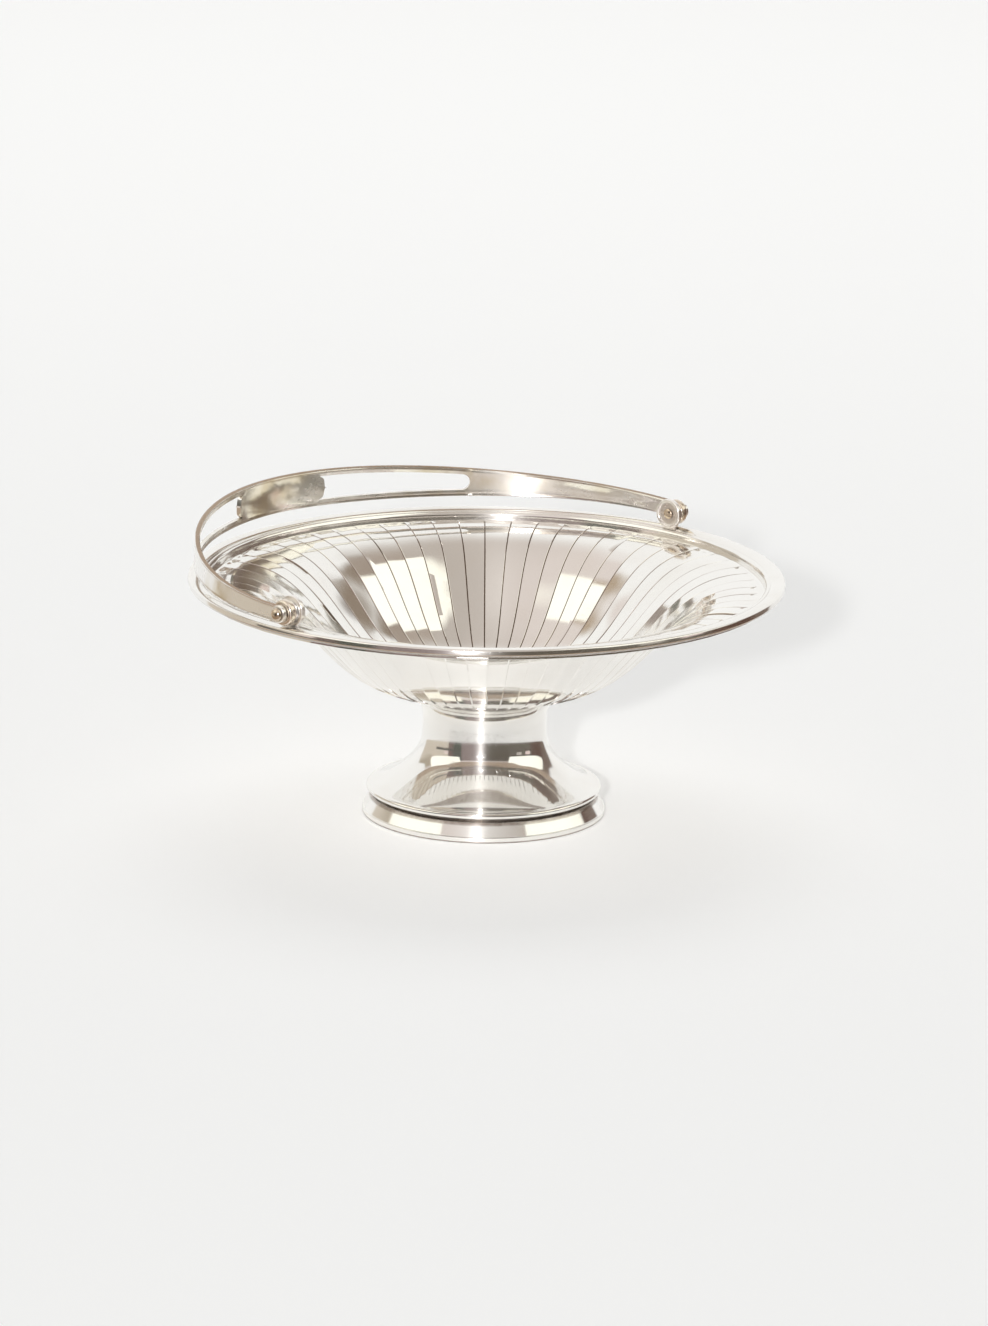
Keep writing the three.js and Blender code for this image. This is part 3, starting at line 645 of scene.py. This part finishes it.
def strap_half_width(distance):
    """Half the strap's width: it swells from the eyes to its full width by a smooth step."""
    from_eye = 1 - np.abs(distance) / (HOOP_LENGTH / 2)
    swell = (STRAP_MIDDLE_WIDTH - STRAP_END_WIDTH) * smooth_step(0, STRAP_TAPER, from_eye)
    return 0.5 * (STRAP_END_WIDTH + swell)


def tip_half_width(reach, half):
    """Half the width of the cartouche's pointed end, at a share of its reach: an ogee with a small
    shoulder."""
    outline = chain(
        bezier([(0.0, 1.0), (0.9, 0.78), (0.62, 0.3)], 30),
        bezier([(0.62, 0.3), (0.60, 0.1), (1.0, 0.0)], 30),
    )
    order = np.maximum.accumulate(outline[:, 0])
    return np.interp(reach, order, outline[:, 1]) * half


def strap_surface():
    """The pierced strap's points and faces in its own surface: stations along the hoop, each with a lane of
    points across the middle, between the two strips that border the slots.

    Where there is no slot the three share their edges. In a slot the middle lane shrinks to nothing, and the
    faces between it and the strips are left out."""
    plain = strap_half_width(SLOT_OUTER_END) - STRAP_STRIP
    round_centre = SLOT_OUTER_END - plain
    round_radius = float(strap_half_width(round_centre) - STRAP_STRIP)
    slot_end = round_centre + round_radius
    tip_end = CARTOUCHE_HALF + CARTOUCHE_TIP
    quarter = np.linspace(0, math.pi / 2, 15)
    half_stations = np.unique(np.round(np.concatenate([
        np.linspace(0, CARTOUCHE_HALF, 16), CARTOUCHE_HALF + CARTOUCHE_TIP * (1 - np.cos(quarter)),
        np.linspace(tip_end, round_centre, 34), round_centre + round_radius * np.sin(quarter),
        np.linspace(slot_end, HOOP_LENGTH / 2, 54)]), 6))
    stations = np.concatenate([-half_stations[:0:-1], half_stations])
    distance = np.abs(stations)
    width = strap_half_width(distance)
    past_round = np.clip(distance - round_centre, 0, round_radius)
    slot_round = np.sqrt(np.maximum(round_radius ** 2 - past_round ** 2, 0))
    slot = np.where(distance > round_centre, slot_round, width - STRAP_STRIP)
    slot = np.where(distance < CARTOUCHE_HALF + 1e-4, strap_half_width(CARTOUCHE_HALF) - STRAP_STRIP, slot)
    slot = np.where(distance > slot_end - 1e-4, 0.0, slot)
    reach = np.clip((distance - CARTOUCHE_HALF) / CARTOUCHE_TIP, 0, 1)
    middle = np.minimum(tip_half_width(reach, slot), slot)
    middle = np.where(reach <= 0, slot, np.where(reach >= 1, 0.0, middle))
    strip_share = np.array([0.0, 0.08, 0.2, 0.33, 0.6, 1.0])
    middle_share = np.linspace(-1, 1, 7)
    left = -width[:, None] + strip_share[None, :] * (width - slot)[:, None]
    centre = middle[:, None] * middle_share[None, :]
    right = -left[:, ::-1]
    across = np.concatenate([left, centre, right], 1)
    count, lanes = across.shape
    from_edge = width[:, None] - np.abs(across)
    bead = STRAP_BEAD * smooth_step(STRAP_BEAD_WIDTH, 0.45 * STRAP_BEAD_WIDTH, from_edge)
    rounded = STRAP_EDGE * smooth_step(STRAP_EDGE, 0.0, from_edge)
    bead = bead * smooth_step(-0.02, STRAP_EDGE, from_edge) - rounded
    place, outward = hoop_at(stations)
    number = np.arange(count * lanes).reshape(count, lanes)
    joined = (slot - middle) < 1e-6
    closed = slot < 1e-6
    left_end, first_middle = len(strip_share) - 1, len(strip_share)
    last_middle, right_start = first_middle + len(middle_share) - 1, first_middle + len(middle_share)
    axis_lane = number[:, first_middle + len(middle_share) // 2]
    same = number.copy()
    same[joined, left_end] = number[joined, first_middle]
    same[joined, right_start] = number[joined, last_middle]
    gone = middle < 1e-6
    same[gone, first_middle:right_start] = axis_lane[gone, None]
    same[closed, left_end] = axis_lane[closed]
    same[closed, right_start] = axis_lane[closed]
    quads = []
    for column in range(lanes - 1):
        if column in (left_end, last_middle):
            continue
        pair = same[:, [column, column + 1]]
        block = np.concatenate([pair[:-1], pair[1:, ::-1]], 1)
        if first_middle <= column < last_middle:
            block = block[~(gone[:-1] & gone[1:])]
        quads.append(block)
    return stations, across, bead, place, outward, np.concatenate(quads)


def handle_mesh():
    """The strap as a closed solid: each point is moved off the centre line, outwards and inwards, by half the
    thickness, the bead along the edges and the crown, and a wall joins both faces along every open edge."""
    stations, across, bead, place, outward, quads = strap_surface()
    half = strap_half_width(stations)[:, None]
    lift = STRAP_THICKNESS / 2 + bead + STRAP_CROWN * (1 - (across / half) ** 2)
    lifted = [place[:, None] + outward[:, None] * (way * lift)[..., None] for way in (1, -1)]
    points = np.concatenate([np.concatenate(lifted), np.tile(across, (2, 1))[..., None]], -1).reshape(-1, 3)
    edges = np.concatenate([quads[:, [0, 1]], quads[:, [1, 2]], quads[:, [2, 3]], quads[:, [3, 0]]])
    edges = edges[edges[:, 0] != edges[:, 1]]
    size = across.size
    there = edges[:, 0] * size + edges[:, 1]
    back_again = edges[:, 1] * size + edges[:, 0]
    rim = edges[~np.isin(there, back_again)]
    walls = np.stack([rim[:, 1], rim[:, 0], rim[:, 0] + size, rim[:, 1] + size], 1)
    faces = np.concatenate([quads, quads[:, ::-1] + size, walls])
    cos, sin = math.cos(HOOP_TILT), math.sin(HOOP_TILT)
    tilted = np.stack([points[:, 0], points[:, 1] * cos - points[:, 2] * sin,
                       points[:, 1] * sin + points[:, 2] * cos + PIVOT_HEIGHT], 1)
    # Darker brown towards the strap's edges, painted shade, and along the line inside each bead, grime and
    # painted shade
    from_edge = half - np.abs(across)
    edge = smooth_step(0.5, 0.0, from_edge) * 0.8
    bead_line = np.exp(-((from_edge - STRAP_BEAD_WIDTH) / 0.2) ** 2) * 0.6
    return tilted, np.tile((edge + bead_line).reshape(-1), 2), faces


def eye_profile():
    """The eye's ring in section, (radius, distance along X), with softened edges."""
    inner, outer = HOOP_HALF_SPAN - EYE_THICKNESS / 2, HOOP_HALF_SPAN + EYE_THICKNESS / 2
    soft, edge = 0.25, EYE_RADIUS
    return chain([(BORE_RADIUS, inner), (edge - soft, inner), (edge, inner + soft), (edge, outer - soft),
                  (edge - soft, outer), (BORE_RADIUS, outer), (BORE_RADIUS, inner)])


eye_line = eye_profile()
eye = revolve(eye_line, PIN_TURN, np.full(len(eye_line), 0.1))
handle_parts = [handle_mesh(), along_x(eye, 1), along_x(eye, -1)]
piece("plated_bail_handle", handle_parts, "handle", strap, HINGE_SHARP)


# The hinges

def ear_profile():
    """The ear's disc, (radius, distance along X): a flat back, a rounded edge, a raised ring and a dished
    face."""
    edge, ring = EAR_RADIUS, EAR_RADIUS - EAR_RING
    face = EAR_INNER + EAR_DISH
    return chain(
        [(BORE_RADIUS, EAR_OUTER)],
        [(edge - 0.5, EAR_OUTER)],
        bezier([(edge - 0.5, EAR_OUTER), (edge, EAR_OUTER), (edge, EAR_OUTER - 0.5)], 6),
        bezier([(edge, EAR_INNER + 0.65), (edge, EAR_INNER), (edge - 0.65, EAR_INNER)], 7),
        bezier([(edge - 0.65, EAR_INNER), (ring, EAR_INNER), (ring - 0.15, face)], 7),
        bezier([(ring - 0.15, face), (ring * 0.6, face + 0.18), (BORE_RADIUS, face)], 8),
        [(BORE_RADIUS, EAR_OUTER)],
    )


def neck_surface():
    """The ear's neck, laid down as the turned pieces are: a solid between two outlines whose half width
    spreads from the disc to the border, by a power of the share of the way down.

    Its lower end follows the border's top, so it sits over the moulding at the seat gap."""
    along = np.linspace(EAR_INNER + EAR_DISH, EAR_OUTER - 0.1, 6)[:, None]
    share = np.linspace(0, 1, 10)[None, :]
    top = -EAR_RADIUS * EAR_NECK_TOP
    bed_along, bed_height = np.array(BORDER_BED).T
    bottom = np.interp(along, bed_along, bed_height) + SEAT_GAP - PIVOT_HEIGHT
    height = top + (bottom - top) * share
    half = EAR_NECK / 2 + (EAR_FOOT - EAR_NECK) / 2 * EAR_NECK_FLARE * share ** EAR_NECK_CURVE + 0 * height
    near, far = (np.stack([-height, width, along + 0 * height], -1) for width in (half, -half))
    loop = np.concatenate([near, far[:, ::-1]], 1)
    first, last = (loop[[end]] * (1, 0, 1) for end in (0, -1))
    grid = np.concatenate([first, loop, last])
    return grid, np.full(grid.shape[:2], 0.25), grid_faces(*grid.shape[:2])


def hinge_piece(name, surfaces, body, material):
    """The same piece on the right hinge and, turned round, on the left."""
    for side, word in ((1, "right"), (-1, "left")):
        turned = [along_x(surface, side) for surface in surfaces]
        piece(f"plated_{name}_{word}", turned, body, material, HINGE_SHARP)


ear = ear_profile()
in_dished_face = smooth_step(5.2, 4.2, ear[:, 0]) * (ear[:, 1] < 118.6)
ear_disc = revolve(ear, HINGE_TURN, in_dished_face * 0.5)
hinge_piece("hinge_ear", [ear_disc, neck_surface()], "bowl", eared)

washer_edge = WASHER_RADIUS - WASHER_EDGE
washer = chain([(BORE_RADIUS, WASHER_INNER), (washer_edge, WASHER_INNER),
                (WASHER_RADIUS, WASHER_INNER + WASHER_EDGE), (WASHER_RADIUS, WASHER_OUTER - WASHER_EDGE),
                (washer_edge, WASHER_OUTER), (BORE_RADIUS, WASHER_OUTER), (BORE_RADIUS, WASHER_INNER)])
hinge_piece("hinge_washer", [revolve(washer, HINGE_TURN)], "bowl", silver)

boss_round = BOSS_RADIUS - BOSS_ROUNDING
boss = chain(
    [(BORE_RADIUS, BOSS_INNER)],
    arc((boss_round, BOSS_INNER + BOSS_ROUNDING), BOSS_ROUNDING, -90, 0, 10),
    arc((boss_round, BOSS_OUTER - BOSS_ROUNDING), BOSS_ROUNDING, 0, 90, 10),
    [(BORE_RADIUS, BOSS_OUTER), (BORE_RADIUS, BOSS_INNER)],
)
near_bore = smooth_step(4.6, 3.6, boss[:, 0])
hinge_piece("hinge_boss", [revolve(boss, HINGE_TURN, near_bore * 0.6)], "handle", worn)

tail_face = EAR_INNER + EAR_DISH - SEAT_GAP
quarter = np.linspace(0, math.pi / 2, 9)
pin = chain(
    np.stack([PIN_TAIL_RADIUS * np.sin(quarter), tail_face - PIN_TAIL_HEIGHT * np.cos(quarter)], 1),
    [(PIN_RADIUS, tail_face), (PIN_RADIUS, PIN_HEAD_FACE)],
    np.stack([PIN_HEAD_RADIUS * np.cos(quarter), PIN_HEAD_FACE + PIN_HEAD_HEIGHT * np.sin(quarter)], 1),
)
pin[0, 0] = pin[-1, 0] = 0.1 * POLE
hinge_piece("hinge_pin", [revolve(pin, PIN_TURN)], "bowl", brass)


# The floor and the camera

ahead_way = np.array([math.sin(CAMERA_AZIMUTH), -math.cos(CAMERA_AZIMUTH), 0.0])
side_way = np.array([math.cos(CAMERA_AZIMUTH), math.sin(CAMERA_AZIMUTH), 0.0])


def floor_piece(name, outline, drop, material):
    """A flat piece of floor turned to the camera, from its outline's (ahead, aside) distances in metres."""
    corners = np.asarray(outline, float)
    mesh = bpy.data.meshes.new(name)
    mesh.from_pydata((corners[:, :1] * ahead_way + corners[:, 1:] * side_way - [0, 0, drop]).tolist(),
                     [], [tuple(range(len(corners)))])
    mesh.materials.append(material)
    made = new_object(name, mesh)
    return made


def paper_material():
    """Matt white paper with a faint fine grain."""
    material = bpy.data.materials.new("paper")
    start = shader_start(material)
    grain = start.node("ShaderNodeTexCoord", out="Object").noise(900.0, 2.0, 0.5)
    colour = grain.mix((0.925, 0.925, 0.915, 1.0), (0.935, 0.935, 0.925, 1.0))
    matt = start.node("ShaderNodeBsdfPrincipled", Base_Color=colour, Roughness=0.9)
    shader_end(matt, "ShaderNodeOutputMaterial")
    return material


# The white sheet ends a hand's width in front of the foot. Past it the plate mirrors the dim room, as it does
# in the photograph, so the floor there is left out of reflections
paper = paper_material()
round_front = np.radians(np.linspace(SHEET_TURN, -SHEET_TURN, 60))
sheet = np.stack([np.cos(round_front), np.sin(round_front)], 1) * SHEET_REACH
sheet = chain(sheet, [(-FLOOR_BACK, -FLOOR_BACK_SIDE), (-FLOOR_BACK, FLOOR_BACK_SIDE)])
floor_piece("floor", sheet, FLOOR_DROP, paper)
wide = [(FLOOR_REACH, FLOOR_REACH), (-FLOOR_BACK, FLOOR_REACH), (-FLOOR_BACK, -FLOOR_REACH),
        (FLOOR_REACH, -FLOOR_REACH)]
floor_piece("floor_round_it", wide, FLOOR_DROP + FLOOR_STEP, paper).visible_glossy = False


def way_to(azimuth, elevation):
    """The unit vector from the bowl to something at an azimuth, from -Y towards X, and an elevation."""
    level = math.cos(elevation)
    return Vector((math.sin(azimuth) * level, -math.cos(azimuth) * level, math.sin(elevation)))


# The camera stands where the photograph was taken from
camera_data = bpy.data.cameras.new("camera")
camera = new_object("camera", camera_data)
bpy.context.scene.camera = camera
back = way_to(CAMERA_AZIMUTH, CAMERA_ELEVATION)
right_way = Vector(side_way)
aim = Matrix((right_way, back.cross(right_way), back))
for turned_by, axis in ((CAMERA_PAN, "Y"), (CAMERA_TILT, "X"), (CAMERA_ROLL, "Z")):
    aim = Matrix.Rotation(turned_by, 3, axis) @ aim
camera_place = Vector((0, 0, AIM_HEIGHT)) + back * CAMERA_DISTANCE
camera.matrix_world = Matrix.Translation(camera_place) @ aim.transposed().to_4x4()
camera_data.sensor_width = SENSOR
camera_data.lens = FOCAL_PIXELS * SENSOR / IMAGE_LONG_SIDE
camera_data.clip_start = 0.05
camera_data.clip_end = 60.0


# The room round the bowl, as seen from it: azimuth 0 is towards the camera and grows to the camera's right

TABLE, BACKDROP, WINDOW = (0.88, 0.875, 0.865, 1.0), (0.955, 0.95, 0.935, 1.0), (1.25, 1.23, 1.10, 1.0)
LEFT_WALL, FAR_LEFT, LOW_DOWN = (0.62, 0.55, 0.46, 1.0), (0.42, 0.36, 0.28, 1.0), (0.42, 0.32, 0.24, 1.0)
PALE_CEILING, TAN_CEILING = (0.75, 0.675, 0.635, 1.0), (0.53, 0.475, 0.43, 1.0)
DARK_BEAM, LIT_BEAM, TAN_PATCH = (0.25, 0.19, 0.14, 1.0), (0.40, 0.33, 0.28, 1.0), (0.44, 0.335, 0.235, 1.0)
# Each stretch of wall from left to right: the azimuths over which it takes over from the last, and its colour
WALLS = [
    ((-71, -66), (0.15, 0.10, 0.09)),
    ((-61, -55), (0.065, 0.07, 0.055)),
    ((-45, -39), (0.25, 0.195, 0.185)),
    ((-10, 8), (0.105, 0.088, 0.068)),
    ((88, 98), (0.10, 0.052, 0.038)),
    ((117, 125), (0.17, 0.12, 0.095)),
]
# Things that stand before the walls: azimuths and elevations, each with the width of its edge, and a colour
FURNISHINGS = [
    ((60, 71, 4), (2.5, 12, 3), (0.50, 0.46, 0.41)),
    ((79, 90, 4), (1.5, 12, 3), (0.80, 0.65, 0.61)),
    ((-76, -68, 4), (2, 13, 3), (0.80, 0.67, 0.63)),
    ((-96, -58, 3), (-5, 1.2, 1.6), (0.09, 0.08, 0.07)),
]


def between(value, low, high, soft):
    """1 where a value lies between two limits and 0 outside, with edges that take soft to fade."""
    return value.ramp(low - soft / 2, low + soft / 2) * (1 - value.ramp(high - soft / 2, high + soft / 2))


def room_world():
    """A white table and backdrop, and in front of them a dim room with a tan ceiling and two tall bright
    windows.

    The ceiling is drawn on a plane: a direction (across, ahead, up) meets it at x = across / up and
    y = ahead / up."""
    world = bpy.data.worlds.new("room")
    bpy.context.scene.world = world
    world.cycles_visibility.diffuse = False
    start = shader_start(world)
    direction = start.node("ShaderNodeTexCoord", out="Generated")

    def along(axis):
        """The direction's share along an axis."""
        return start.node("ShaderNodeVectorMath", {"operation": "DOT_PRODUCT"}, out="Value", i0=direction,
                          i1=tuple(axis))

    across, ahead, up = along(side_way), along(ahead_way), along((0, 0, 1))
    azimuth = across.math("ARCTAN2", across, ahead) * (180 / math.pi)
    elevation = up.math("ARCSINE", up) * (180 / math.pi)
    above = up.math("MAXIMUM", up, 0.05)
    x, y = across / above, ahead / above
    # The walls, from left to right, their far left end, what stands before them, and the brown low down
    wall = LEFT_WALL
    for fade, colour in WALLS:
        wall = azimuth.ramp(*fade).mix(wall, (*colour, 1.0))
    wall = (azimuth.ramp(-100, -112) * elevation.ramp(12, 22)).mix(wall, FAR_LEFT)
    for sideways, upwards, colour in FURNISHINGS:
        wall = (between(azimuth, *sideways) * between(elevation, *upwards)).mix(wall, (*colour, 1.0))
    wall = elevation.ramp(-16, -26).mix(wall, LOW_DOWN)
    # The ceiling, its brown beam on the right and a tan patch on the left
    ceiling = x.ramp(-0.38, 0.16).mix(PALE_CEILING, TAN_CEILING)
    beam = elevation.ramp(46, 60).mix(DARK_BEAM, LIT_BEAM)
    ceiling = (between(x, 0.34, 9.0, 0.25) * y.ramp(-0.02, -0.24)).mix(ceiling, beam)
    patch = between(-x, 0.72, 0.98, 0.1) * between(-y, 0.1, 0.66, 0.1)
    room = elevation.ramp(30, 36).mix(wall, patch.mix(ceiling, TAN_PATCH))
    # The windows, which reach from the walls over the ceiling's sides
    right_edge = 118 - 6 * between(elevation, 34, 57, 2)
    right_window = azimuth.ramp(45.5, 48.5) * (azimuth - right_edge).ramp(1.5, -1.5)
    right_window = right_window * x.ramp(0.22, 0.29) * elevation.ramp(16, 18)
    left_edge = x + 1.2 * y.math("MAXIMUM", -y, 0.0)
    left_window = between(azimuth, -106, -46, 3) * left_edge.ramp(-0.45, -0.53) * elevation.ramp(19.5, 21.5)
    room = right_window.math("MAXIMUM", right_window, left_window).mix(room, WINDOW)
    # The backdrop sweeps up behind the bowl and over it
    lean = elevation.ramp(20, 28)
    high_up = elevation.ramp(38, 46)
    in_front = (azimuth - 13 * lean).ramp(-134.5, -129.5) * (azimuth + 7 * lean).ramp(139.5, 134.5)
    side_edge, middle_edge = (y + 0.1 * x).ramp(-0.72, -0.54), y.ramp(-1.1, -0.35)
    to_the_side = x.math("ABSOLUTE", x).ramp(0.3, 0.6)
    overhead_part = (middle_edge + to_the_side * (side_edge - middle_edge)) * high_up
    room = up.math("MAXIMUM", overhead_part, in_front * (1 - high_up)).mix(BACKDROP, room)
    # Below the horizon behind the bowl it is the table
    behind = (1 - in_front) * (1 - elevation.ramp(-1.0, 1.0))
    background = start.node("ShaderNodeBackground", Color=behind.mix(room, TABLE), Strength=1.0)
    shader_end(background, "ShaderNodeOutputWorld")


room_world()


# The lamps

def lamp(name, kind, energy, place, against, across=None):
    """A light at a place in metres, shining against a direction. An area light is a disc, so far across."""
    data = bpy.data.lights.new(name, kind)
    data.energy = energy
    if across:
        data.shape = "DISK"
        data.size = across
    made = new_object(name, data)
    made.location = place
    made.rotation_euler = Vector(against).to_track_quat("Z", "Y").to_euler()
    return made


# The flash stands a little to the left of the camera, so its faint shadow falls to the right behind the bowl.
# The glint at the same place only shows in the plate
to_flash = way_to(CAMERA_AZIMUTH - FLASH_TURN, FLASH_ELEVATION)
lamp("flash", "AREA", FLASH_POWER, to_flash * FLASH_DISTANCE, to_flash, FLASH_ACROSS)
glint = lamp("glint", "AREA", GLINT_POWER, to_flash * FLASH_DISTANCE, to_flash, FLASH_ACROSS)
glint.visible_diffuse = False

# A broad soft light above the table, a little behind the bowl, and two even ones from all over the pale room,
# of which the first casts no shadow. The plate mirrors the room instead of them
overhead_place = Vector((0, 0, OVERHEAD_HEIGHT)) - Vector(ahead_way) * OVERHEAD_BACK
overhead = lamp("overhead", "AREA", OVERHEAD_POWER, overhead_place, (0, 0, 1), OVERHEAD_ACROSS)
even = lamp("even", "SUN", EVEN_STRENGTH, (0, 0, 3), (0, 0, 1))
even.data.use_shadow = False
sky = lamp("sky", "SUN", SKY_STRENGTH, (0, 0, 4), (0, 0, 1))
sky.data.angle = SKY_SPREAD
for soft in (overhead, even, sky):
    soft.visible_glossy = False
    soft.visible_camera = False

bpy.context.scene.view_settings.view_transform = "Standard"
